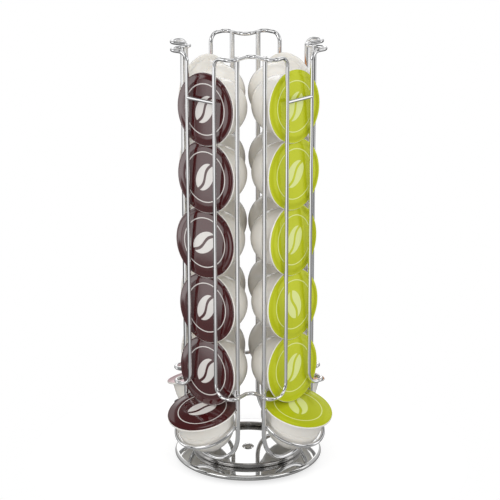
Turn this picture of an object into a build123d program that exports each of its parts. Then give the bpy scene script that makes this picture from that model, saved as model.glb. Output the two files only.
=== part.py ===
from build123d import *
import math
import os

os.makedirs("parts", exist_ok=True)

# Coffee capsule dispenser: four wire columns of large coffee capsules on a plate that turns.
# Millimetres, +Z up, front at -Y, origin at the centre of the underside, on the table.
# A column is drawn facing the front, with its outward side at -Y, and is then turned to its corner.

# Names and places of what repeats
COLUMNS = ("front_left", "front_right", "back_right", "back_left")
SIDES = ("front", "right", "back", "left")
FULL_TURN = 360.0
RIGHT_ANGLE = 90.0
FIRST_COLUMN_ANGLE = -45.0
CAPSULES_IN_STACK = 5

# Capsule, the standard size that the columns are made for
rim_radius = 27.0
rim_thickness = 1.5
rim_round = 0.5
rim_overhang = 3.9
wall_taper = 0.9
crease_height = 0.4
crease_step = 0.4
bowl_centre_depth = 13.4
bowl_flat_radius = 2.946
lid_margin = 0.4
lid_thickness = 0.3

# Resting places of the stacked capsules, whose lids stand a little further out than the rails: a row
# of turns for each column, from the lowest lid up, and steps aside and inward for a column and level
stack_lid_lead = 3.323
stack_lid_lean = 3.0
stack_turns = (
    (2.0, 2.4, 6.2, 2.7, 2.0),
    (-2.0, -2.0, 2.0, -2.0, -1.4),
    (0.8, -1.2, 0.4, 1.5, -0.6),
    (-0.5, 1.0, 2.0, 0.6, 0.9),
)
stack_slips = {(0, 1): (0.0, 0.3), (0, 2): (-1.6, 0.4), (3, 2): (-1.5, 0.0)}

# Resting places of the ready capsules, with their lids further out than their rings:
# a list gives one value for each column
ready_lid_lead = 4.849
ready_lid_height = 55.5
ready_tilts = (16.6, 17.6, 17.2, 17.0)
ready_sinks = (1.1, 0.0, 0.3, 0.6)
capsule_clearance = 0.2
ready_clearance = 0.3

# Guard loops, closed wires that face the front, the right, the back and the left
guard_wire = 2.9
guard_reach = 45.0
guard_half_width = 26.05
guard_peak_offset = 14.3
guard_peak_reach = 58.9
guard_dip_reach = 39.1
guard_wave_bend = 5.5
guard_top_bend = 7.0
guard_foot_bend = 9.0
guard_top = 325.9
guard_foot = 69.4

# Guide rails, a U of thicker wire behind the rims of each column
rail_wire = 3.4
rail_offset = 9.84
rail_bend_share = 0.93
rail_end_rise = 1.3
rail_end_round = 0.4

# Stop bars across the columns, a little below the top of the guards
bar_wire = 2.7
bar_drop = 32.9

# Rings that hold the ready capsules
cup_ring_wire = 3.0
cup_ring_tilt = 28.0
cup_ring_height = 41.2
cup_ring_clearance = 0.8

# Ring that the rails stand on
base_ring_wire = 3.6
base_ring_seat = 0.03

# How deep the resistance welds press two wires into each other
weld_depth = 0.2

# Plate that turns, of polished sheet with a rolled edge
plate_radius = 57.0
plate_sheet = 1.0
plate_roll_width = 4.7
plate_roll_height = 4.1
plate_roll_slot = 1.4
plate_lift = 3.3

# Foot disc under the plate, with its pads
foot_radius = 46.0
foot_sheet = 1.1
foot_boss_radius = 8.0
foot_boss_slope = 4.0
foot_boss_rise = 2.4
pad_radius = 6.5
pad_height = 1.2
pad_circle = 38.0
PADS = 4

# Ball bearing between the foot disc and the plate
BALLS = 12
ball_circle = 31.0
groove_depth = 0.4
ball_play = 0.05
pocket_play = 0.15
cage_width = 9.0
cage_thickness = 2.0

# Rivet that holds the plate on the foot
rivet_head_radius = 4.7
rivet_head_height = 2.2
rivet_shank_radius = 2.5
rivet_tail_radius = 3.8
rivet_tail_height = 1.2
turning_play = 0.05
washer_radius = 7.0
washer_play = 0.1

# Worked out from the sizes above: the capsule, the plate's floor and what stands on it
diagonal = math.sqrt(2.0)
body_root_radius = rim_radius - rim_overhang
body_waist_radius = body_root_radius - wall_taper
bowl_radius = body_waist_radius - crease_step
capsule_length = bowl_centre_depth + math.sqrt(bowl_radius ** 2 - bowl_flat_radius ** 2)
lid_radius = rim_radius - lid_margin
plate_floor = plate_lift + plate_roll_height
plate_underside = plate_floor - plate_sheet
base_ring_height = plate_floor + base_ring_wire / 2.0 - base_ring_seat
rail_run_height = base_ring_height + (base_ring_wire + rail_wire) / 2.0 - weld_depth
rail_top = guard_top + rail_end_rise
bar_height = guard_top - bar_drop


def guard_rail_reach():
    """Distance from the centre plane to a rail that lies against the inside of the wave."""
    run = math.hypot(guard_peak_offset, guard_peak_reach - guard_dip_reach)
    share = rail_offset / guard_peak_offset
    wave = guard_dip_reach + (guard_peak_reach - guard_dip_reach) * share
    touching = (guard_wire + rail_wire) / 2.0 - weld_depth
    return wave - touching * run / guard_peak_offset


# A column's own frame: how far out and how far aside its rails and its guards' side wires stand
rail_depth = guard_rail_reach()
rail_reach = (rail_depth + rail_offset) / diagonal
rail_aside = (rail_depth - rail_offset) / diagonal
side_wire_reach = (guard_reach + guard_half_width) / diagonal
side_wire_aside = (guard_reach - guard_half_width) / diagonal
rail_bend = rail_bend_share * rail_aside
cup_ring_radius = body_waist_radius + cup_ring_clearance + cup_ring_wire / 2.0


def radians(angle):
    """An angle in radians, for the sine and the cosine."""
    return math.radians(angle)


def cup_ring_gap(reach, steps=720):
    """Least distance in plan from the ring's centre line to a rail's, for a ring centred at reach."""
    flat = math.cos(radians(cup_ring_tilt))
    gaps = []
    for step in range(steps):
        turn = math.pi * step / steps
        out = reach - cup_ring_radius * flat * math.cos(turn) - rail_reach
        aside = rail_aside - cup_ring_radius * math.sin(turn)
        gaps.append(math.hypot(out, aside))
    return min(gaps)


def cup_ring_reach(halvings=40):
    """Distance out at which the ring's wire just meets the two rails of its column."""
    touching = (cup_ring_wire + rail_wire) / 2.0 - weld_depth
    near = rail_reach
    far = rail_reach + cup_ring_radius
    for _ in range(halvings):
        middle = (near + far) / 2.0
        if cup_ring_gap(middle) < touching:
            near = middle
        else:
            far = middle
    return (near + far) / 2.0


ring_reach = cup_ring_reach()
ready_lid_reach = ring_reach + ready_lid_lead
stack_lid_reach = rail_reach + rail_wire / 2.0 + stack_lid_lead
stack_pitch = (rim_radius + body_root_radius + capsule_clearance) / math.cos(radians(stack_lid_lean))


def stack_foot(index):
    """Height of a column's lowest lid centre, with its bowl on the ready capsule's raised edge."""
    tilt = radians(ready_tilts[index])
    edge_reach = ready_lid_reach - rim_radius * math.cos(tilt)
    edge_height = ready_lid_height - ready_sinks[index] + rim_radius * math.sin(tilt) + lid_thickness
    lean = radians(stack_lid_lean)
    bowl_reach = stack_lid_reach - bowl_centre_depth * math.cos(lean)
    above = math.sqrt((bowl_radius + ready_clearance) ** 2 - (bowl_reach - edge_reach) ** 2)
    return edge_height + above + bowl_centre_depth * math.sin(lean)


def save(node, shape):
    """Write one node's solids to its STEP file."""
    shape.label = node
    export_step(shape, f"parts/{node}.step")


def to_column(index, shape):
    """Turn a piece drawn facing the front to the corner of one column."""
    return Rot(0, 0, FIRST_COLUMN_ANGLE + index * RIGHT_ANGLE) * shape


def to_side(index, shape):
    """Turn a piece drawn at the front to one of the four sides."""
    return Rot(0, 0, index * RIGHT_ANGLE) * shape


def turned(outline):
    """Solid of revolution about Z, from an outline in radius and height."""
    return revolve(Plane.XZ * make_face(outline), Axis.Z)


def swept_wire(path, thickness):
    """Round wire along a path of straights and bends."""
    section = Plane(origin=path @ 0, z_dir=path % 0) * Circle(thickness / 2.0)
    return sweep(section, path=path)


def guard_loop():
    """Closed wire at the front: two uprights, and a wave from side to side at the top and the foot."""
    half_wave = (
        (guard_half_width, -guard_reach),
        (guard_peak_offset, -guard_peak_reach),
        (0, -guard_dip_reach),
        (-guard_peak_offset, -guard_peak_reach),
        (-guard_half_width, -guard_reach),
    )
    top = [(x, y, guard_top) for x, y in half_wave]
    foot = [(x, y, guard_foot) for x, y in reversed(half_wave)]
    waves = [guard_wave_bend] * (len(half_wave) - 2)
    bends = [guard_top_bend] + waves + [guard_top_bend, guard_foot_bend] + waves + [guard_foot_bend]
    return swept_wire(FilletPolyline(top + foot, radius=bends, close=True), guard_wire)


def guide_rail():
    """U of wire: two uprights beside the capsules and a run under them, over the base ring."""
    corners = (
        (-rail_aside, -rail_reach, rail_top),
        (-rail_aside, -rail_reach, rail_run_height),
        (rail_aside, -rail_reach, rail_run_height),
        (rail_aside, -rail_reach, rail_top),
    )
    wire = swept_wire(FilletPolyline(corners, radius=rail_bend), rail_wire)
    return fillet(wire.faces().sort_by(Axis.Z)[-2:].edges(), rail_end_round)


def stop_bar():
    """Short wire across a column's lids, with its ends saddled onto the uprights of two guard loops."""
    bar = Rot(0, RIGHT_ANGLE, 0) * Cylinder(bar_wire / 2.0, 2.0 * side_wire_aside)
    upright = Cylinder(guard_wire / 2.0 - weld_depth, 2.0 * bar_wire)
    for aside in (-side_wire_aside, side_wire_aside):
        bar -= Pos(aside, 0, 0) * upright
    return Pos(0, -side_wire_reach, bar_height) * bar


def cup_ring():
    """Tilted wire ring between two rails, round the body of the ready capsule."""
    ring = Torus(cup_ring_radius, cup_ring_wire / 2.0)
    return Pos(0, -ring_reach, cup_ring_height) * Rot(cup_ring_tilt, 0, 0) * ring


def base_ring():
    """Wire ring flat on the plate, under the lowest run of each rail."""
    return Pos(0, 0, base_ring_height) * Torus(rail_reach, base_ring_wire / 2.0)


def capsule_cup():
    """Filled cup: a flat rim, a short straight wall down to a crease, and a round bowl."""
    bowl_start = (bowl_radius, -bowl_centre_depth)
    bowl_end = (bowl_flat_radius, -capsule_length)
    wall = Polyline(
        (0, -capsule_length),
        (0, 0),
        (rim_radius, 0),
        (rim_radius, -rim_thickness),
        (body_root_radius, -rim_thickness),
        (body_waist_radius, crease_height - bowl_centre_depth),
        bowl_start,
    )
    bowl = RadiusArc(bowl_start, bowl_end, bowl_radius)
    outline = wall + bowl + Line(bowl_end, (0, -capsule_length))
    face = make_face(outline)
    face = fillet(face.vertices().sort_by(Axis.X)[-2:], rim_round)
    return revolve(Plane.XZ * face, Axis.Z)


def capsule_lid():
    """Thin foil disc on the rim's flat face."""
    return Pos(0, 0, lid_thickness / 2.0) * Cylinder(lid_radius, lid_thickness)


def ready_place(index, piece):
    """Put a piece of a column's ready capsule in its ring, lid up and leaning outward."""
    place = Pos(0, -ready_lid_reach, ready_lid_height - ready_sinks[index])
    return to_column(index, place * Rot(ready_tilts[index], 0, 0) * piece)


def stack_place(index, level, piece):
    """Put a piece of a stacked capsule at its level, counted from the lowest, lid outward."""
    aside, inward = stack_slips.get((index, level), (0, 0))
    place = Pos(aside, inward - stack_lid_reach, stack_foot(index) + level * stack_pitch)
    turn = Rot(0, 0, stack_turns[index][level]) * Rot(RIGHT_ANGLE - stack_lid_lean, 0, 0)
    return to_column(index, place * turn * piece)


def turntable_plate():
    """Round plate of sheet with its edge rolled under, and a hole that turns on the rivet."""
    half_width = plate_roll_width / 2.0
    half_height = plate_roll_height / 2.0
    roll_place = Pos(plate_radius - half_width, plate_floor - half_height)
    bore_radius = rivet_shank_radius + turning_play
    roll = Ellipse(half_width, half_height)
    roll -= Ellipse(half_width - plate_sheet, half_height - plate_sheet)
    roll -= Pos(-half_width, -half_height / 2.0) * Rectangle(half_width, plate_roll_slot)
    floor = turned(Polyline(
        (bore_radius, plate_underside),
        (plate_radius - half_width, plate_underside),
        (plate_radius - half_width, plate_floor),
        (bore_radius, plate_floor),
        close=True,
    ))
    return floor + revolve(Plane.XZ * roll_place * roll, Axis.Z)


def foot_disc():
    """Sheet disc with a raised centre for the rivet and a groove for the balls."""
    top = pad_height + foot_sheet
    slope_end = foot_boss_radius + foot_boss_slope
    disc = turned(Polyline(
        (rivet_shank_radius, pad_height + foot_boss_rise),
        (foot_boss_radius, pad_height + foot_boss_rise),
        (slope_end, pad_height),
        (foot_radius, pad_height),
        (foot_radius, top),
        (slope_end, top),
        (foot_boss_radius, top + foot_boss_rise),
        (rivet_shank_radius, top + foot_boss_rise),
        close=True,
    ))
    groove_radius = ball_radius() + pocket_play
    groove = Pos(0, 0, top - groove_depth + groove_radius) * Torus(ball_circle, groove_radius)
    return disc - groove


def foot_pads():
    """Round pads under the foot disc."""
    pad = Pos(0, 0, pad_height / 2.0) * Cylinder(pad_radius, pad_height)
    return Compound(children=list(PolarLocations(pad_circle, PADS, RIGHT_ANGLE / 2.0) * pad))


def ball_radius():
    """Radius of a ball that fits between the groove and the plate's underside."""
    room = plate_underside - (pad_height + foot_sheet - groove_depth)
    return room / 2.0 - ball_play


def ball_centre_height():
    """Height of the balls' centres, midway between the groove and the plate."""
    return (plate_underside + pad_height + foot_sheet - groove_depth) / 2.0


def bearing_balls():
    """Steel balls in a circle."""
    ball = Pos(0, 0, ball_centre_height()) * Sphere(ball_radius())
    return Compound(children=list(PolarLocations(ball_circle, BALLS) * ball))


def ball_cage():
    """Flat ring with a pocket round each ball."""
    ring = Cylinder(ball_circle + cage_width / 2.0, cage_thickness)
    ring -= Cylinder(ball_circle - cage_width / 2.0, cage_thickness)
    pocket = Cylinder(ball_radius() + pocket_play, cage_thickness)
    ring -= PolarLocations(ball_circle, BALLS) * pocket
    return Pos(0, 0, ball_centre_height()) * ring


def pivot_rivet():
    """Rivet with a domed head on the plate and an upset tail under the foot's raised centre."""
    head_base = plate_floor + turning_play
    tail_top = pad_height + foot_boss_rise
    tail_end = tail_top - rivet_tail_height
    stem = Polyline(
        (0, head_base + rivet_head_height),
        (0, tail_end),
        (rivet_tail_radius, tail_end),
        (rivet_tail_radius, tail_top),
        (rivet_shank_radius, tail_top),
        (rivet_shank_radius, head_base),
        (rivet_head_radius, head_base),
    )
    dome_radius = (rivet_head_radius ** 2 + rivet_head_height ** 2) / (2.0 * rivet_head_height)
    dome = RadiusArc((0, head_base + rivet_head_height), (rivet_head_radius, head_base), dome_radius)
    return turned(stem + dome)


def pivot_washer():
    """Washer between the foot's raised centre and the plate."""
    seat = pad_height + foot_sheet + foot_boss_rise
    thickness = plate_underside - washer_play - seat
    washer = Cylinder(washer_radius, thickness)
    washer -= Cylinder(rivet_shank_radius + turning_play, thickness)
    return Pos(0, 0, seat + thickness / 2.0) * washer


def build_base():
    """The foot, the bearing and the plate."""
    save("foot_disc", foot_disc())
    save("foot_pads", foot_pads())
    save("pivot_rivet", pivot_rivet())
    save("pivot_washer", pivot_washer())
    save("ball_cage", ball_cage())
    save("bearing_balls", bearing_balls())
    save("turntable_plate", turntable_plate())


def build_frame():
    """The wire tower that stands on the plate."""
    save("base_ring", base_ring())
    guard = guard_loop()
    rail = guide_rail()
    bar = stop_bar()
    ring = cup_ring()
    for index, side in enumerate(SIDES):
        save(f"guard_loop_{side}", to_side(index, guard))
    for index, column in enumerate(COLUMNS):
        save(f"guide_rail_{column}", to_column(index, rail))
        save(f"stop_bar_{column}", to_column(index, bar))
        save(f"cup_ring_{column}", to_column(index, ring))


def build_capsules():
    """The capsules in their columns, each stacked cup its own node."""
    cup = capsule_cup()
    lid = capsule_lid()
    levels = range(CAPSULES_IN_STACK)
    for index, column in enumerate(COLUMNS):
        save(f"ready_cup_{column}", ready_place(index, cup))
        save(f"ready_lid_{column}", ready_place(index, lid))
        lids = [stack_place(index, level, lid) for level in levels]
        save(f"stack_lids_{column}", Compound(children=lids))
        for level in levels:
            number = CAPSULES_IN_STACK - level
            save(f"stack_cup_{number}_{column}", stack_place(index, level, cup))


build_base()
build_frame()
build_capsules()
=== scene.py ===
"""Looks of a coffee capsule dispenser: a chromed wire tower on a turning plate, filled with capsules.

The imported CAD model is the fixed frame. The wires, the plate and the bearing keep their CAD shapes and
get finishes here; every cup and every foil lid is modelled anew in the place of its CAD solid.
Sizes are in metres, +Z is up and the front is at -Y.
"""

import logging
import math
from dataclasses import dataclass, field
from enum import Enum
from typing import Any, Iterable, Sequence

import bmesh
import bpy
from mathutils import Matrix, Vector


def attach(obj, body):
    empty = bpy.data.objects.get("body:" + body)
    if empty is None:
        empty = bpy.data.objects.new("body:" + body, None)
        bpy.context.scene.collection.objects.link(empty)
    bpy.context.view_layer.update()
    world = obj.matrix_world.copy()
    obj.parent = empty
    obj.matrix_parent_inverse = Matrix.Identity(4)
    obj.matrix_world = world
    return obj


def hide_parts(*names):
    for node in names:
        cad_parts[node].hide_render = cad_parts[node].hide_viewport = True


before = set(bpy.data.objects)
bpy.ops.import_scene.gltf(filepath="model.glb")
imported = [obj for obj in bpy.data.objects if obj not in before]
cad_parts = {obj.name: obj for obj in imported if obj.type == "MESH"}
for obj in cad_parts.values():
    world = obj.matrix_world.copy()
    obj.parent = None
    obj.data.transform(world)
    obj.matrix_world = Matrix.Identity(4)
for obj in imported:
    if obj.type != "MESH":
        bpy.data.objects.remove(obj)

Colour = tuple[float, float, float]
Socket = bpy.types.NodeSocket
Amount = Socket | float
Paint = Socket | Colour

FULL_TURN = 2.0 * math.pi
WHITE: Colour = (1.0, 1.0, 1.0)

# Noise: how many finer layers it has, and the band that most of its values lie in
COARSE_DETAIL = 1.0
PLAIN_DETAIL = 2.0
FINE_DETAIL = 3.0
NOISE_LOW = 0.3
NOISE_HIGH = 0.7

# Places of the colour sockets on a Mix node: the share, the two colours and the result
MIX_SHARE = 0
MIX_FIRST = 6
MIX_SECOND = 7
MIX_RESULT = 2

# Meshes, in metres: points of a CAD mesh or of a spun skin that are this close are one point,
# and a point this close to a circle is on it
CAD_MERGE = 0.000001
SPUN_MERGE = 0.000002
ON_CIRCLE = 0.00002

# Edges that turn by more than this stay sharp, in radians
SHARP_ANGLE = 0.7

# The middle of a lid on its UV map
UV_MIDDLE = 0.5

# A sine beyond straight up, or with a minus beyond straight down, where a zone has no edge
BEYOND = 1.5

log = logging.getLogger("capsule_dispenser")


class Column(Enum):
    """The four columns of the tower, by the names that their nodes and bodies carry."""

    FRONT_LEFT = "front_left"
    FRONT_RIGHT = "front_right"
    BACK_RIGHT = "back_right"
    BACK_LEFT = "back_left"


class Side(Enum):
    """The four sides that a guard loop faces."""

    FRONT = "front"
    RIGHT = "right"
    BACK = "back"
    LEFT = "left"


class Flank(Enum):
    """The side of the surround that a zone lies on, seen from the camera."""

    LEFT = "left"
    BOTH = "both"
    RIGHT = "right"


# Node materials


class Board:
    """A node tree under construction, with short calls for arithmetic."""

    def __init__(self, tree: bpy.types.NodeTree) -> None:
        """Take the tree that the nodes go to."""
        self.nodes = tree.nodes
        self.links = tree.links

    def put(self, target: Socket, value: Any) -> None:
        """Link a socket, or set a plain value, on a node's input.

        Args:
            target: the input.
            value: a socket or a plain value.
        """
        if isinstance(value, Socket):
            self.links.new(value, target)
        else:
            target.default_value = value

    def math(self, operation: str, first: Amount, second: Amount = 0.0) -> Socket:
        """One arithmetic step.

        Args:
            operation: the Math node's operation.
            first: a socket or a number.
            second: a socket or a number, where the operation takes two.

        Returns:
            The result's socket.
        """
        node = self.nodes.new("ShaderNodeMath")
        node.operation = operation
        self.put(node.inputs[0], first)
        self.put(node.inputs[1], second)
        return node.outputs[0]


class Sheet(Board):
    """A node material under construction, with short calls for the nodes that the finishes share."""

    def __init__(self, name: str) -> None:
        """Start a material with a Principled shader.

        Args:
            name: the material's name.
        """
        self.material = bpy.data.materials.new(name)
        self.material.use_nodes = True
        super().__init__(self.material.node_tree)
        self.shader = self.nodes["Principled BSDF"]
        self.coordinates = self.nodes.new("ShaderNodeTexCoord")

    def set(self, **values: Any) -> None:
        """Set plain values on the shader's own sockets, with _ for each blank in a socket's name."""
        for key, value in values.items():
            self.shader.inputs[key.replace("_", " ")].default_value = value

    def drive(self, socket: str, source: Socket) -> None:
        """Link a source to a socket of the shader."""
        self.links.new(source, self.shader.inputs[socket])

    def scaled(self, source: Socket, scale: Sequence[float]) -> Socket:
        """Stretch coordinates along each axis.

        Args:
            source: the coordinates.
            scale: a factor for each axis.

        Returns:
            The stretched coordinates.
        """
        node = self.nodes.new("ShaderNodeMapping")
        node.inputs["Scale"].default_value = scale
        self.links.new(source, node.inputs["Vector"])
        return node.outputs["Vector"]

    def noise(self, scale: float, detail: float = PLAIN_DETAIL, source: Socket | None = None) -> Socket:
        """Noise over the object's own coordinates.

        Args:
            scale: how many patches there are to a metre.
            detail: how many finer layers are added.
            source: other coordinates to read, if any.

        Returns:
            The noise's value, around a half.
        """
        node = self.nodes.new("ShaderNodeTexNoise")
        node.inputs["Scale"].default_value = scale
        node.inputs["Detail"].default_value = detail
        self.links.new(source or self.coordinates.outputs["Object"], node.inputs["Vector"])
        return node.outputs["Fac"]

    def spread(self, source: Socket, low: float, high: float,
               start: float = NOISE_LOW, end: float = NOISE_HIGH) -> Socket:
        """Map a value from one range onto another, held at the ends.

        Args:
            source: the value.
            low: the result at the range's start.
            high: the result at the range's end.
            start: where the range starts.
            end: where the range ends.

        Returns:
            The mapped value.
        """
        node = self.nodes.new("ShaderNodeMapRange")
        for name, value in (("From Min", start), ("From Max", end), ("To Min", low), ("To Max", high)):
            node.inputs[name].default_value = value
        self.links.new(source, node.inputs["Value"])
        return node.outputs["Result"]

    def blend(self, share: Amount, first: Paint, second: Paint) -> Socket:
        """Mix two colours.

        Args:
            share: how much of the second is taken, from 0 to 1.
            first: a socket or a plain colour.
            second: a socket or a plain colour.

        Returns:
            The mixed colour.
        """
        node = self.nodes.new("ShaderNodeMix")
        node.data_type = "RGBA"
        self.put(node.inputs[MIX_SHARE], share)
        for place, value in ((MIX_FIRST, first), (MIX_SECOND, second)):
            self.put(node.inputs[place], (*value, 1.0) if isinstance(value, tuple) else value)
        return node.outputs[MIX_RESULT]

    def relief(self, height: Socket, depth: float, under: Socket | None = None) -> Socket:
        """Bump of a depth in metres.

        Args:
            height: a value from 0 to 1.
            depth: how deep the whole range is.
            under: another bump that this one lies on, if any.

        Returns:
            The bent normal.
        """
        node = self.nodes.new("ShaderNodeBump")
        node.inputs["Distance"].default_value = depth
        self.links.new(height, node.inputs["Height"])
        if under is not None:
            self.links.new(under, node.inputs["Normal"])
        return node.outputs["Normal"]


@dataclass(frozen=True)
class MetalFinish:
    """Metal with drawing or polishing marks, faint waves and slightly uneven gloss."""

    name: str
    colour: Colour
    shade: Colour
    roughness: float
    roughness_spread: float
    patch_scale: float
    wave_scale: float
    wave_depth: float
    mark_scale: tuple[float, float, float]
    mark_depth: float
    patch_share: float = 0.6

    def material(self) -> bpy.types.Material:
        """Build the finish.

        Returns:
            The node material.
        """
        sheet = Sheet(self.name)
        patches = sheet.noise(self.patch_scale, FINE_DETAIL)
        sheet.drive("Base Color", sheet.blend(sheet.spread(patches, 0.0, 1.0), self.colour, self.shade))
        stretched = sheet.scaled(sheet.coordinates.outputs["Object"], self.mark_scale)
        marks = sheet.noise(1.0, PLAIN_DETAIL, stretched)
        gloss = sheet.math("ADD", sheet.math("MULTIPLY", patches, self.patch_share),
                           sheet.math("MULTIPLY", marks, 1.0 - self.patch_share))
        low = max(self.roughness - self.roughness_spread, 0.0)
        sheet.drive("Roughness", sheet.spread(gloss, low, self.roughness + self.roughness_spread))
        waves = sheet.relief(sheet.noise(self.wave_scale, COARSE_DETAIL), self.wave_depth)
        sheet.drive("Normal", sheet.relief(marks, self.mark_depth, waves))
        sheet.set(Metallic=1.0)
        return sheet.material


@dataclass(frozen=True)
class PlasticFinish:
    """Moulded plastic or rubber, with a fine skin and slightly uneven colour and gloss."""

    name: str
    colour: Colour
    shade: Colour
    roughness: float
    roughness_spread: float
    skin_scale: float
    skin_depth: float
    cloud_scale: float = 30.0
    coat: float = 0.0
    coat_roughness: float = 0.1
    subsurface: float = 0.0
    subsurface_depth: float = 0.003
    subsurface_reach: Colour = (1.0, 0.9, 0.75)

    def material(self) -> bpy.types.Material:
        """Build the finish.

        Returns:
            The node material.
        """
        sheet = Sheet(self.name)
        clouds = sheet.noise(self.cloud_scale)
        sheet.drive("Base Color", sheet.blend(sheet.spread(clouds, 0.0, 1.0), self.colour, self.shade))
        skin = sheet.noise(self.skin_scale, FINE_DETAIL)
        low = max(self.roughness - self.roughness_spread, 0.0)
        sheet.drive("Roughness", sheet.spread(skin, low, self.roughness + self.roughness_spread))
        sheet.drive("Normal", sheet.relief(skin, self.skin_depth))
        sheet.set(Coat_Weight=self.coat, Coat_Roughness=self.coat_roughness)
        if self.subsurface > 0.0:
            sheet.set(Subsurface_Weight=self.subsurface, Subsurface_Scale=self.subsurface_depth,
                      Subsurface_Radius=self.subsurface_reach)
        return sheet.material


@dataclass(frozen=True)
class FoilFinish:
    """Printed and lacquered sealing foil, with a plain coffee bean and a ring in a pale ink.

    Sizes of the print are in lid radii, and each softness is a share of the size that it blurs.
    """

    name: str
    colour: Colour
    shade: Colour
    ink: Colour
    metallic: float
    roughness: float
    ior: float
    bean_length: float = 0.42
    bean_width: float = 0.28
    bean_turn: float = 0.9
    bean_softness: float = 0.03
    gap_width: float = 0.085
    gap_sway: float = 0.6
    gap_softness: float = 0.1
    ring_radius: float = 0.70
    ring_width: float = 0.014
    ring_softness: float = 0.2
    cloud_scale: float = 40.0
    grain_scale: float = 1500.0
    grain_gloss: tuple[float, float] = (0.8, 1.25)
    crumple_scale: float = 95.0
    crumple_depth: float = 0.00003
    ink_depth: float = 0.00001

    def bean(self, sheet: Sheet, across: Socket, up: Socket) -> Socket:
        """Pale ink of the bean: an oval in two halves with a curved gap between them.

        Args:
            sheet: the material that the nodes go to.
            across: place on the lid from left to right, in lid radii.
            up: place on the lid from low to high, in lid radii.

        Returns:
            A share of ink, 1 inside the halves.
        """
        sine, cosine = math.sin(self.bean_turn), math.cos(self.bean_turn)
        along = sheet.math("ADD", sheet.math("MULTIPLY", across, cosine),
                           sheet.math("MULTIPLY", up, sine))
        aside = sheet.math("SUBTRACT", sheet.math("MULTIPLY", up, cosine),
                           sheet.math("MULTIPLY", across, sine))
        length = sheet.math("POWER", sheet.math("DIVIDE", along, self.bean_length), 2.0)
        width = sheet.math("POWER", sheet.math("DIVIDE", aside, self.bean_width), 2.0)
        oval = sheet.math("ADD", length, width)
        inside = sheet.spread(oval, 1.0, 0.0, 1.0 - self.bean_softness, 1.0 + self.bean_softness)
        bend = sheet.math("SINE", sheet.math("MULTIPLY", along, math.pi / self.bean_length))
        gap = sheet.math("SUBTRACT", aside, sheet.math("MULTIPLY", bend, self.gap_width * self.gap_sway))
        edge = self.gap_width / 2.0
        beside = sheet.spread(sheet.math("ABSOLUTE", gap), 0.0, 1.0,
                              edge * (1.0 - self.gap_softness), edge * (1.0 + self.gap_softness))
        return sheet.math("MULTIPLY", inside, beside)

    def ring(self, sheet: Sheet, across: Socket, up: Socket) -> Socket:
        """Pale ink of the thin ring round the bean.

        Args:
            sheet: the material that the nodes go to.
            across: place on the lid from left to right, in lid radii.
            up: place on the lid from low to high, in lid radii.

        Returns:
            A share of ink, 1 on the ring.
        """
        squares = sheet.math("ADD", sheet.math("POWER", across, 2.0), sheet.math("POWER", up, 2.0))
        radius = sheet.math("SQRT", squares)
        beside = sheet.math("ABSOLUTE", sheet.math("SUBTRACT", radius, self.ring_radius))
        return sheet.spread(beside, 1.0, 0.0, self.ring_width * (1.0 - self.ring_softness),
                            self.ring_width * (1.0 + self.ring_softness))

    def material(self) -> bpy.types.Material:
        """Build the finish, which reads the lid's own UV map.

        Returns:
            The node material.
        """
        sheet = Sheet(self.name)
        split = sheet.nodes.new("ShaderNodeSeparateXYZ")
        sheet.links.new(sheet.coordinates.outputs["UV"], split.inputs["Vector"])
        across, up = (sheet.math("MULTIPLY", sheet.math("SUBTRACT", split.outputs[axis], UV_MIDDLE), 2.0)
                      for axis in ("X", "Y"))
        ring = self.ring(sheet, across, up)
        ink = sheet.math("MAXIMUM", self.bean(sheet, across, up), ring)
        clouds = sheet.noise(self.cloud_scale)
        ground = sheet.blend(sheet.spread(clouds, 0.0, 1.0), self.colour, self.shade)
        sheet.drive("Base Color", sheet.blend(ink, ground, self.ink))
        if self.metallic > 0.0:
            sheet.drive("Metallic", sheet.spread(ink, self.metallic, 0.0, 0.0, 1.0))
        grain = sheet.noise(self.grain_scale)
        glossy, dull = (self.roughness * share for share in self.grain_gloss)
        sheet.drive("Roughness", sheet.spread(grain, glossy, dull))
        crumple = sheet.relief(sheet.noise(self.crumple_scale), self.crumple_depth)
        sheet.drive("Normal", sheet.relief(ink, self.ink_depth, crumple))
        sheet.set(IOR=self.ior)
        return sheet.material


Finish = MetalFinish | PlasticFinish | FoilFinish


class Materials:
    """The finishes in use, each built once."""

    def __init__(self) -> None:
        """Start with no finish built."""
        self.made: dict[str, bpy.types.Material] = {}

    def get(self, finish: Finish) -> bpy.types.Material:
        """Material of a finish, built the first time that it is asked for.

        Args:
            finish: the finish.

        Returns:
            Its node material.
        """
        if finish.name not in self.made:
            self.made[finish.name] = finish.material()
        return self.made[finish.name]

    def dress_node(self, node: str, finish: Finish) -> None:
        """Give a CAD node a finish, with its mesh left as it is.

        Args:
            node: the node's name.
            finish: the finish that every slot of the node gets.
        """
        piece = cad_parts[node]
        material = self.get(finish)
        for slot in piece.material_slots:
            slot.material = material
        log.info("node %s: %s", node, finish.name)


# Mesh helpers


@dataclass(frozen=True)
class Place:
    """Where a capsule lies: the middle of its rim's face, with the lid's outward direction as +Z."""

    matrix: Matrix

    @property
    def height(self) -> float:
        """Height of the lid's middle above the table."""
        return self.matrix.translation.z


def loose_parts(mesh: bmesh.types.BMesh) -> list[list[bmesh.types.BMVert]]:
    """Split a mesh into the parts that hang together.

    Args:
        mesh: a merged mesh of one or more parts.

    Returns:
        The vertices of each part.
    """
    parts = []
    left = dict.fromkeys(mesh.verts)
    while left:
        part = [next(iter(left))]
        del left[part[0]]
        for vertex in part:
            for link in vertex.link_edges:
                other = link.other_vert(vertex)
                if other in left:
                    del left[other]
                    part.append(other)
        parts.append(part)
    return parts


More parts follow.
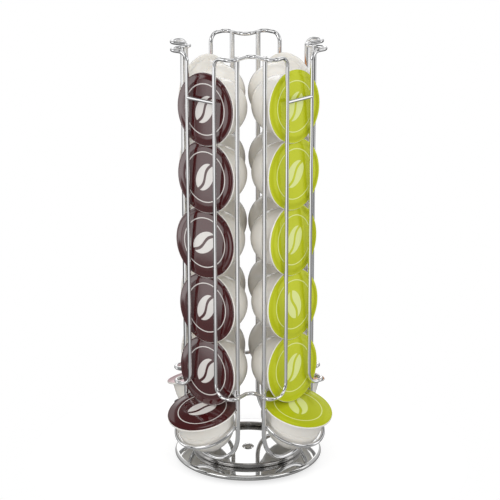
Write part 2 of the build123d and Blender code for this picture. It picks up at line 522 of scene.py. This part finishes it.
def disc_place(disc: list[bmesh.types.BMVert], thickness: float) -> Place:
    """Work out how a thin disc lies.

    Args:
        disc: the disc's vertices.
        thickness: how thick it is.

    Returns:
        The place of its inner face, with +Z up and away from the tower's axis.
    """
    middle = sum((vertex.co for vertex in disc), Vector()) / len(disc)
    faces = dict.fromkeys(face for vertex in disc for face in vertex.link_faces)
    outward = max(faces, key=lambda face: face.calc_area()).normal.copy()
    if outward.dot(Vector((middle.x, middle.y, 0.0)).normalized() + Vector((0.0, 0.0, 1.0))) < 0.0:
        outward.negate()
    across = Vector((0.0, 0.0, 1.0)).cross(outward).normalized()
    axes = Matrix((across, outward.cross(across), outward)).transposed()
    return Place(Matrix.Translation(middle - outward * thickness / 2.0) @ axes.to_4x4())


def lid_places(node: str, lid_thickness: float) -> list[Place]:
    """Read from a CAD node where its lids lie.

    Args:
        node: a CAD node of one or more thin discs.
        lid_thickness: how thick a disc is.

    Returns:
        A place for each disc, from the highest to the lowest.
    """
    mesh = bmesh.new()
    mesh.from_mesh(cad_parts[node].data)
    bmesh.ops.remove_doubles(mesh, verts=mesh.verts, dist=CAD_MERGE)
    places = [disc_place(disc, lid_thickness) for disc in loose_parts(mesh)]
    mesh.free()
    return sorted(places, key=lambda place: -place.height)


def finished(name: str, mesh: bmesh.types.BMesh) -> bpy.types.Object:
    """Turn a bmesh into a smooth-shaded object at the origin.

    Args:
        name: the object's name.
        mesh: the shape, already in its place; it is freed.

    Returns:
        The new object.
    """
    for face in mesh.faces:
        face.smooth = True
    data = bpy.data.meshes.new(name)
    mesh.to_mesh(data)
    mesh.free()
    data.set_sharp_from_angle(angle=SHARP_ANGLE)
    piece = bpy.data.objects.new(name, data)
    bpy.context.scene.collection.objects.link(piece)
    return piece


def spun(outline: Sequence[tuple[float, float]], steps: int) -> bmesh.types.BMesh:
    """Spin an outline of radii and heights about Z into a closed skin.

    Args:
        outline: points from the axis, round the section and back to the axis.
        steps: how many sides the turn has.

    Returns:
        The skin as a bmesh, with its doubles merged and its faces outward.
    """
    mesh = bmesh.new()
    points = [mesh.verts.new((radius, 0.0, height)) for radius, height in outline]
    edges = [mesh.edges.new(pair) for pair in zip(points, points[1:])]
    bmesh.ops.spin(mesh, geom=points + edges, axis=(0.0, 0.0, 1.0), cent=(0.0, 0.0, 0.0),
                   angle=FULL_TURN, steps=steps, use_merge=True)
    bmesh.ops.remove_doubles(mesh, verts=mesh.verts, dist=SPUN_MERGE)
    bmesh.ops.recalc_face_normals(mesh, faces=mesh.faces)
    return mesh


def round_off(mesh: bmesh.types.BMesh, circle: tuple[float, float], size: float, segments: int) -> None:
    """Round off the edges of a spun skin that lie on one circle about Z.

    Args:
        mesh: the skin.
        circle: the circle's radius and height.
        size: the bevel's width in metres.
        segments: how many steps the bevel has.
    """
    radius, height = circle
    edges = [
        edge for edge in mesh.edges
        if all(abs(math.hypot(vertex.co.x, vertex.co.y) - radius) < ON_CIRCLE
               and abs(vertex.co.z - height) < ON_CIRCLE for vertex in edge.verts)
    ]
    bmesh.ops.bevel(mesh, geom=edges, offset=size, offset_type="OFFSET", affect="EDGES",
                    segments=segments, profile=0.5, material=-1, clamp_overlap=True)


# The capsules


@dataclass(frozen=True)
class CapsuleCup:
    """Filled cup: a rim, a short tapered wall, a crease and a round bowl.

    The lip and the foot are the rim's two outer edges, the root is where the wall leaves the rim, and
    the waist is where the wall meets the crease. Heights count down from the rim's face.
    """

    rim_radius: float = 0.02698
    rim_thickness: float = 0.0015
    lip_round: float = 0.0004
    foot_round: float = 0.0005
    rim_segments: int = 3
    root_radius: float = 0.0231
    root_round: float = 0.0008
    root_segments: int = 4
    waist_radius: float = 0.0222
    crease_height: float = 0.0126
    crease_width: float = 0.0008
    crease_depth: float = 0.0004
    bowl_radius: float = 0.0218
    bowl_centre: float = 0.0134
    bowl_steps: int = 22
    length: float = 0.035
    sides: int = 112

    def outline(self) -> list[tuple[float, float]]:
        """Work out the cup's section.

        Returns:
            Radii and heights, from the axis at the lid to the axis at the bowl's end.
        """
        points = [
            (0.0, 0.0),
            (self.rim_radius, 0.0),
            (self.rim_radius, -self.rim_thickness),
            (self.root_radius, -self.rim_thickness),
            (self.waist_radius, -self.crease_height),
            (self.bowl_radius - self.crease_depth, -self.crease_height - self.crease_width / 2.0),
        ]
        last = math.asin((self.length - self.bowl_centre) / self.bowl_radius)
        for step in range(self.bowl_steps + 1):
            turn = last * step / self.bowl_steps
            depth = self.bowl_centre + self.bowl_radius * math.sin(turn)
            points.append((self.bowl_radius * math.cos(turn), -depth))
        points.append((0.0, -self.length))
        return points

    def build(self, name: str, place: Place) -> bpy.types.Object:
        """Model one cup in its place.

        Args:
            name: the piece's name.
            place: where the rim's face lies.

        Returns:
            The cup as an object.
        """
        mesh = spun(self.outline(), self.sides)
        round_off(mesh, (self.rim_radius, 0.0), self.lip_round, self.rim_segments)
        round_off(mesh, (self.rim_radius, -self.rim_thickness), self.foot_round, self.rim_segments)
        round_off(mesh, (self.root_radius, -self.rim_thickness), self.root_round, self.root_segments)
        bmesh.ops.transform(mesh, matrix=place.matrix, verts=mesh.verts)
        return finished(name, mesh)


@dataclass(frozen=True)
class FoilLid:
    """Sealing foil: a flat seal band round the edge and a slightly domed middle."""

    radius: float = 0.0266
    thickness: float = 0.00018
    band_width: float = 0.0026
    step_height: float = 0.00012
    step_width: float = 0.00024
    dome_rise: float = 0.0005
    dome_rings: int = 9
    sides: int = 112

    def outline(self) -> list[tuple[float, float]]:
        """Work out the foil's section.

        Returns:
            Radii and heights, from the axis above to the axis below.
        """
        inner = self.radius - self.band_width
        points = []
        for ring in range(self.dome_rings + 1):
            share = ring / self.dome_rings
            rise = self.step_height + self.dome_rise * (1.0 - share * share)
            points.append((inner * share, self.thickness + rise))
        points.append((inner + self.step_width, self.thickness))
        points.append((self.radius, self.thickness))
        points.append((self.radius, 0.0))
        points.append((0.0, 0.0))
        return points

    def build(self, name: str, place: Place, turn: float) -> bpy.types.Object:
        """Model one lid in its place.

        Args:
            name: the piece's name.
            place: where the rim's face lies.
            turn: how far the print is turned on the lid, in radians.

        Returns:
            The lid as an object with a UV map of its printed side.
        """
        mesh = spun(self.outline(), self.sides)
        layer = mesh.loops.layers.uv.new("print")
        spin = Matrix.Rotation(-turn, 2)
        for face in mesh.faces:
            for loop in face.loops:
                flat = spin @ Vector((loop.vert.co.x, loop.vert.co.y))
                loop[layer].uv = flat / (2.0 * self.radius) + Vector((UV_MIDDLE, UV_MIDDLE))
        bmesh.ops.transform(mesh, matrix=place.matrix, verts=mesh.verts)
        return finished(name, mesh)


@dataclass
class CapsuleColumn:
    """One column: the ready capsule in its ring and five capsules stacked above it.

    The turns are those of the prints, in radians, from the highest capsule to the ready one.
    """

    column: Column
    lid_finish: FoilFinish
    lid_slot: str
    cup_finish: PlasticFinish
    turns: tuple[float, ...]
    cup: CapsuleCup = field(default_factory=CapsuleCup)
    lid: FoilLid = field(default_factory=FoilLid)
    cad_lid_thickness: float = 0.0003

    def build(self, materials: Materials) -> None:
        """Model the column's cups and lids, dress them and put them on their bodies.

        Args:
            materials: the store that the finishes come from.
        """
        column = self.column.value
        stack = lid_places(f"stack_lids_{column}", self.cad_lid_thickness)
        ready = lid_places(f"ready_lid_{column}", self.cad_lid_thickness)[0]
        for number, place in enumerate(stack, start=1):
            cup = self.cup.build(f"cup_{column}_{number}", place)
            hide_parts(f"stack_cup_{number}_{column}")
            self.dress(cup, self.cup_finish, f"capsule_stack_{column}", materials)
            lid = self.lid.build(f"foil_{column}_{number}", place, self.turns[number - 1])
            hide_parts(f"stack_lids_{column}")
            self.dress(lid, self.lid_finish, f"capsule_stack_{column}", materials)
        cup = self.cup.build(f"cup_{column}_ready", ready)
        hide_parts(f"ready_cup_{column}")
        self.dress(cup, self.cup_finish, f"ready_capsule_{column}", materials)
        lid = self.lid.build(f"foil_{column}_ready", ready, self.turns[-1])
        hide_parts(f"ready_lid_{column}")
        self.dress(lid, self.lid_finish, f"ready_capsule_{column}", materials)
        log.info("column %s: %d capsules", column, len(stack) + 1)

    def dress(self, piece: bpy.types.Object, finish: Finish, body: str,
              materials: Materials) -> None:
        """Give a piece its finish and its body.

        Args:
            piece: the cup or the lid.
            finish: its finish.
            body: the body that carries it.
            materials: the store that the finishes come from.
        """
        piece.data.materials.append(materials.get(finish))
        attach(piece, body)
        log.info("piece %s: %s on %s", piece.name, finish.name, body)


# The metal pieces


@dataclass
class Turntable:
    """The foot with its pads, the ball bearing, the rivet and the polished plate."""

    plate: MetalFinish
    foot: MetalFinish
    balls: MetalFinish
    rivet: MetalFinish
    pads: PlasticFinish
    cage: PlasticFinish

    def build(self, materials: Materials) -> None:
        """Dress the turntable's CAD nodes.

        Args:
            materials: the store that the finishes come from.
        """
        materials.dress_node("turntable_plate", self.plate)
        materials.dress_node("foot_disc", self.foot)
        materials.dress_node("bearing_balls", self.balls)
        materials.dress_node("pivot_rivet", self.rivet)
        materials.dress_node("foot_pads", self.pads)
        materials.dress_node("ball_cage", self.cage)
        materials.dress_node("pivot_washer", self.cage)


@dataclass
class WireTower:
    """The welded and chromed wires that stand on the plate."""

    chrome: MetalFinish
    ring_shaded_chrome: MetalFinish

    def build(self, materials: Materials) -> None:
        """Dress the tower's CAD nodes.

        Args:
            materials: the store that the finishes come from.
        """
        # The base ring gets a darker copy of the chrome: painted shade
        materials.dress_node("base_ring", self.ring_shaded_chrome)
        for side in Side:
            materials.dress_node(f"guard_loop_{side.value}", self.chrome)
        for column in Column:
            for kind in ("guide_rail", "stop_bar", "cup_ring"):
                materials.dress_node(f"{kind}_{column.value}", self.chrome)


# Studio


@dataclass
class Floor:
    """Round pale floor that shows white to the camera and to glass, apart from the shadow on it."""

    radius: float = 0.17
    sides: int = 96
    colour: Colour = (0.38, 0.38, 0.38)
    lift: float = 0.70
    roughness: float = 0.9
    fibre_scale: float = 900.0
    fibre_share: float = 0.06

    def build(self) -> None:
        """Make the floor and put it in the scene."""
        mesh = bmesh.new()
        bmesh.ops.create_circle(mesh, cap_ends=True, segments=self.sides, radius=self.radius)
        floor = finished("floor", mesh)
        sheet = Sheet("floor_paper")
        fibres = sheet.spread(sheet.noise(self.fibre_scale), 0.0, self.fibre_share)
        sheet.drive("Base Color", sheet.blend(fibres, self.colour, WHITE))
        sheet.set(Roughness=self.roughness, Specular_IOR_Level=0.0, Emission_Color=(*WHITE, 1.0))
        path = sheet.nodes.new("ShaderNodeLightPath")
        seen = sheet.math("MAXIMUM", path.outputs["Is Camera Ray"], path.outputs["Is Transmission Ray"])
        sheet.drive("Emission Strength", sheet.math("MULTIPLY", seen, self.lift))
        floor.data.materials.append(sheet.material)
        log.info("floor: radius %.2f m", self.radius)


@dataclass(frozen=True)
class Zone:
    """A part of the surround as reflections see it, by direction from the object.

    The turn is counted in degrees from the front towards the zone's flank, and the rise is the sine
    of the direction's elevation.
    """

    flank: Flank
    level: float
    turn: tuple[float, float]
    rise: tuple[float, float]
    soft_turn: float = 3.0
    soft_rise: float = 0.04


class Sky(Board):
    """The world's nodes under construction."""

    def __init__(self) -> None:
        """Make the world and clear its nodes."""
        world = bpy.data.worlds.new("surround")
        bpy.context.scene.world = world
        world.use_nodes = True
        super().__init__(world.node_tree)
        self.nodes.clear()

    def rise(self, source: Socket, place: float, softness: float) -> Socket:
        """A smooth rise from 0 to 1.

        Args:
            source: the value that it follows.
            place: the value at the rise's middle.
            softness: how wide the rise is.

        Returns:
            The share from 0 to 1.
        """
        node = self.nodes.new("ShaderNodeMapRange")
        node.interpolation_type = "SMOOTHSTEP"
        node.inputs["From Min"].default_value = place - softness / 2.0
        node.inputs["From Max"].default_value = place + softness / 2.0
        self.links.new(source, node.inputs["Value"])
        return node.outputs["Result"]

    def band(self, source: Socket, ends: tuple[float, float], softness: float) -> Socket:
        """A share that is 1 between two values of a source and 0 outside, with soft ends."""
        low, high = ends
        return self.math("SUBTRACT", self.rise(source, low, softness), self.rise(source, high, softness))

    def choose(self, share: Socket, first: Amount, second: Amount) -> Socket:
        """One value where a share is 0 and another where it is 1."""
        kept = self.math("MULTIPLY", first, self.math("SUBTRACT", 1.0, share))
        return self.math("ADD", kept, self.math("MULTIPLY", second, share))


@dataclass
class Surround:
    """The world, which is white to the camera and to glass.

    Its soft light on the object is a little stronger from the front, and reflections see lit zones
    on a dark ground.
    """

    ground_level: float = 0.54
    wall_level: float = 1.00
    overhead_level: float = 0.78
    overhead_rise: float = 0.65
    level_softness: float = 0.5
    front_gain: float = 0.45
    front_place: float = 0.75
    front_softness: float = 0.4
    unlit_level: float = 0.09
    zones: tuple[Zone, ...] = (
        Zone(Flank.BOTH, 1.42, (160.0, 190.0), (0.20, 0.60), soft_turn=8.0),
        Zone(Flank.BOTH, 0.95, (160.0, 190.0), (0.0, 0.20), soft_turn=8.0),
        Zone(Flank.BOTH, 0.62, (104.0, 160.0), (0.0, 0.66), soft_turn=8.0),
        Zone(Flank.BOTH, 1.25, (86.0, 104.0), (0.0, 0.78)),
        Zone(Flank.BOTH, 0.28, (-10.0, 62.0), (0.04, 0.90)),
        Zone(Flank.BOTH, 1.00, (-10.0, 190.0), (0.90, BEYOND)),
        Zone(Flank.LEFT, 1.15, (-8.0, 54.0), (-0.34, 0.0)),
        Zone(Flank.RIGHT, 0.55, (58.0, 78.0), (-0.30, 0.0)),
        Zone(Flank.LEFT, 1.15, (70.0, 85.0), (-0.26, 0.0), soft_rise=0.06),
        Zone(Flank.LEFT, 1.45, (88.0, 118.0), (-0.26, 0.0), soft_rise=0.06),
        Zone(Flank.RIGHT, 1.15, (78.0, 102.0), (-0.27, 0.0)),
        Zone(Flank.LEFT, 0.56, (-12.0, 60.0), (-BEYOND, -0.34)),
        Zone(Flank.RIGHT, 0.40, (12.0, 60.0), (-BEYOND, -0.30)),
        Zone(Flank.LEFT, 0.22, (72.0, 110.0), (-BEYOND, -0.26), soft_rise=0.06),
        Zone(Flank.RIGHT, 0.55, (78.0, 102.0), (-BEYOND, -0.27)),
    )

    def lighting(self, sky: Sky, height: Socket, ahead: Socket) -> Socket:
        """Level of the surround for the light that falls on the object.

        Args:
            sky: the world's nodes.
            height: sine of the direction's elevation.
            ahead: how far the direction points to the front, from -1 to 1.

        Returns:
            The level.
        """
        steps = (
            (height, 0.0, self.level_softness, self.wall_level - self.ground_level),
            (height, self.overhead_rise, self.level_softness, self.overhead_level - self.wall_level),
            (ahead, self.front_place, self.front_softness, self.front_gain),
        )
        level: Amount = self.ground_level
        for source, place, softness, change in steps:
            share = sky.rise(source, place, softness)
            level = sky.math("ADD", level, sky.math("MULTIPLY", share, change))
        return level

    def reflection(self, sky: Sky, height: Socket, turn: Socket) -> Socket:
        """Level of the surround as reflections see it.

        Args:
            sky: the world's nodes.
            height: sine of the direction's elevation.
            turn: the direction's turn from the front, in degrees, positive to the right.

        Returns:
            The level.
        """
        turns = {
            Flank.LEFT: sky.math("MULTIPLY", turn, -1.0),
            Flank.BOTH: sky.math("ABSOLUTE", turn),
            Flank.RIGHT: turn,
        }
        level: Amount = self.unlit_level
        for zone in self.zones:
            share = sky.math("MULTIPLY", sky.band(turns[zone.flank], zone.turn, zone.soft_turn),
                             sky.band(height, zone.rise, zone.soft_rise))
            change = zone.level - self.unlit_level
            level = sky.math("ADD", level, sky.math("MULTIPLY", share, change))
        return level

    def build(self) -> None:
        """Make the world's nodes."""
        sky = Sky()
        way = sky.nodes.new("ShaderNodeTexCoord")
        split = sky.nodes.new("ShaderNodeSeparateXYZ")
        sky.links.new(way.outputs["Generated"], split.inputs["Vector"])
        height = split.outputs["Z"]
        ahead = sky.math("MULTIPLY", split.outputs["Y"], -1.0)
        turn = sky.math("DEGREES", sky.math("ARCTAN2", split.outputs["X"], ahead))
        mirrored = self.reflection(sky, height, turn)
        path = sky.nodes.new("ShaderNodeLightPath")
        seen = sky.math("MAXIMUM", path.outputs["Is Camera Ray"], path.outputs["Is Transmission Ray"])
        level = sky.choose(seen, self.lighting(sky, height, ahead), 1.0)
        level = sky.choose(path.outputs["Is Glossy Ray"], level, mirrored)
        back = sky.nodes.new("ShaderNodeBackground")
        back.inputs["Color"].default_value = (*WHITE, 1.0)
        sky.links.new(level, back.inputs["Strength"])
        out = sky.nodes.new("ShaderNodeOutputWorld")
        sky.links.new(back.outputs["Background"], out.inputs["Surface"])
        log.info("surround: %d lit zones", len(self.zones))


@dataclass(frozen=True)
class Lamp:
    """A square area lamp aimed at the middle of the tower."""

    name: str
    place: tuple[float, float, float]
    power: float
    size: float = 0.8
    aim: tuple[float, float, float] = (0.0, 0.0, 0.16)

    def build(self) -> None:
        """Make the lamp."""
        data = bpy.data.lights.new(self.name, "AREA")
        data.shape = "SQUARE"
        data.size = self.size
        data.energy = self.power
        lamp = bpy.data.objects.new(self.name, data)
        lamp.location = self.place
        way = Vector(self.aim) - Vector(self.place)
        lamp.rotation_euler = way.to_track_quat("-Z", "Y").to_euler()
        bpy.context.scene.collection.objects.link(lamp)
        log.info("lamp %s: %.1f W", self.name, self.power)


@dataclass(frozen=True)
class Camera:
    """The camera at the photograph's viewing angle, for a square image; angles are in degrees."""

    distance: float = 1.3102
    height: float = 0.5863
    side: float = 2.545
    heading: float = 2.611
    dip: float = 17.68
    focal_length: float = 130.85
    sensor_width: float = 36.0

    def build(self) -> None:
        """Make the camera and look through it."""
        side, heading, dip = (math.radians(angle) for angle in (self.side, self.heading, self.dip))
        data = bpy.data.cameras.new("camera")
        data.lens = self.focal_length
        data.sensor_width = self.sensor_width
        camera = bpy.data.objects.new("camera", data)
        camera.location = (-math.sin(side) * self.distance, -math.cos(side) * self.distance, self.height)
        flat = math.cos(dip)
        forward = Vector((math.sin(heading) * flat, math.cos(heading) * flat, -math.sin(dip)))
        camera.rotation_euler = forward.to_track_quat("-Z", "Y").to_euler()
        bpy.context.scene.collection.objects.link(camera)
        bpy.context.scene.camera = camera
        log.info("camera: %.1f mm", self.focal_length)


@dataclass
class Studio:
    """Plain pale floor, a white surround with soft boxes at both sides, lamps and the camera."""

    floor: Floor = field(default_factory=Floor)
    surround: Surround = field(default_factory=Surround)
    lamps: tuple[Lamp, ...] = (
        Lamp("left_lamp", (-1.1, -0.8, 0.9), 4.0),
        Lamp("right_lamp", (1.1, -0.9, 0.9), 3.0),
    )
    camera: Camera = field(default_factory=Camera)

    def build(self) -> None:
        """Make the floor, the surround, the lamps and the camera."""
        for part in (self.floor, self.surround, *self.lamps, self.camera):
            part.build()


# Finishes of this object

CHROME = MetalFinish(
    "bright_chrome",
    colour=(0.86, 0.86, 0.87),
    shade=(0.81, 0.81, 0.81),
    roughness=0.03,
    roughness_spread=0.015,
    patch_scale=90.0,
    wave_scale=120.0,
    wave_depth=0.00001,
    mark_scale=(2500.0, 2500.0, 300.0),
    mark_depth=0.0000012,
)
# Chrome of the base ring, darkened all over: painted shade standing in for the dark reflections on the
# ring, which is the same chromed wire as the rest of the tower
SHADED_CHROME = MetalFinish(
    "chrome_with_painted_shade",
    colour=(0.46, 0.45, 0.44),
    shade=(0.40, 0.39, 0.385),
    roughness=0.05,
    roughness_spread=0.02,
    patch_scale=90.0,
    wave_scale=120.0,
    wave_depth=0.00001,
    mark_scale=(2500.0, 2500.0, 1200.0),
    mark_depth=0.0000015,
)
MIRROR = MetalFinish(
    "polished_plate",
    colour=(0.73, 0.73, 0.725),
    shade=(0.705, 0.705, 0.70),
    roughness=0.03,
    roughness_spread=0.02,
    patch_scale=60.0,
    wave_scale=30.0,
    wave_depth=0.00001,
    mark_scale=(1200.0, 1200.0, 1200.0),
    mark_depth=0.0000008,
)
RIVET = MetalFinish(
    "turned_rivet",
    colour=(0.82, 0.82, 0.82),
    shade=(0.72, 0.72, 0.72),
    roughness=0.12,
    roughness_spread=0.05,
    patch_scale=300.0,
    wave_scale=200.0,
    wave_depth=0.00002,
    mark_scale=(2500.0, 2500.0, 2500.0),
    mark_depth=0.000005,
)
SATIN = MetalFinish(
    "satin_foot",
    colour=(0.55, 0.56, 0.57),
    shade=(0.45, 0.46, 0.47),
    roughness=0.32,
    roughness_spread=0.08,
    patch_scale=120.0,
    wave_scale=60.0,
    wave_depth=0.00005,
    mark_scale=(900.0, 5000.0, 900.0),
    mark_depth=0.00001,
)
BALL = MetalFinish(
    "bearing_steel",
    colour=(0.74, 0.75, 0.76),
    shade=(0.66, 0.67, 0.68),
    roughness=0.08,
    roughness_spread=0.03,
    patch_scale=400.0,
    wave_scale=300.0,
    wave_depth=0.00001,
    mark_scale=(3000.0, 3000.0, 3000.0),
    mark_depth=0.000002,
)
RUBBER = PlasticFinish(
    "pad_rubber",
    colour=(0.035, 0.035, 0.037),
    shade=(0.022, 0.022, 0.023),
    roughness=0.62,
    roughness_spread=0.1,
    skin_scale=2200.0,
    skin_depth=0.00002,
)
NYLON = PlasticFinish(
    "cage_nylon",
    colour=(0.72, 0.71, 0.66),
    shade=(0.64, 0.62, 0.57),
    roughness=0.42,
    roughness_spread=0.08,
    skin_scale=1400.0,
    skin_depth=0.00001,
)
CUP = PlasticFinish(
    "glossy_cup",
    colour=(0.855, 0.825, 0.770),
    shade=(0.835, 0.805, 0.745),
    roughness=0.20,
    roughness_spread=0.03,
    skin_scale=300.0,
    skin_depth=0.000003,
    coat=0.55,
    coat_roughness=0.06,
    subsurface=0.25,
)
BROWN = FoilFinish(
    "brown_foil",
    colour=(0.056, 0.0036, 0.0046),
    shade=(0.049, 0.0030, 0.0038),
    ink=(0.72, 0.69, 0.66),
    metallic=0.0,
    roughness=0.09,
    ior=2.0,
)
GREEN = FoilFinish(
    "green_foil",
    colour=(0.535, 0.585, 0.012),
    shade=(0.515, 0.565, 0.010),
    ink=(0.70, 0.76, 0.28),
    metallic=0.22,
    roughness=0.20,
    ior=1.45,
)
ORANGE = FoilFinish(
    "orange_foil",
    colour=(0.80, 0.36, 0.14),
    shade=(0.76, 0.33, 0.12),
    ink=(0.86, 0.83, 0.78),
    metallic=0.22,
    roughness=0.20,
    ior=1.45,
)
PINK = FoilFinish(
    "pink_foil",
    colour=(0.80, 0.58, 0.60),
    shade=(0.77, 0.55, 0.57),
    ink=(0.88, 0.84, 0.82),
    metallic=0.22,
    roughness=0.20,
    ior=1.45,
)

COLUMNS = (
    CapsuleColumn(Column.FRONT_LEFT, BROWN, "lid_brown", CUP, (0.10, 0.14, -0.30, 0.12, 0.08, 0.05)),
    CapsuleColumn(Column.FRONT_RIGHT, GREEN, "lid_green", CUP, (0.12, -0.10, 0.06, 0.9, 0.10, -0.05)),
    CapsuleColumn(Column.BACK_RIGHT, ORANGE, "lid_orange", CUP, (0.3, -0.2, 0.5, 0.1, -0.4, 0.2)),
    CapsuleColumn(Column.BACK_LEFT, PINK, "lid_pink", CUP, (-0.2, 0.4, 0.1, -0.5, 0.3, 0.0)),
)


def main() -> None:
    """Build the looks in order."""
    logging.basicConfig(level=logging.INFO, format="%(name)s: %(message)s")
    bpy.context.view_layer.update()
    bpy.context.scene.view_settings.view_transform = "Standard"
    materials = Materials()
    turntable = Turntable(plate=MIRROR, foot=SATIN, balls=BALL, rivet=RIVET, pads=RUBBER, cage=NYLON)
    turntable.build(materials)
    tower = WireTower(chrome=CHROME, ring_shaded_chrome=SHADED_CHROME)
    tower.build(materials)
    for column in COLUMNS:
        column.build(materials)
    Studio().build()


if __name__ == "__main__":
    main()
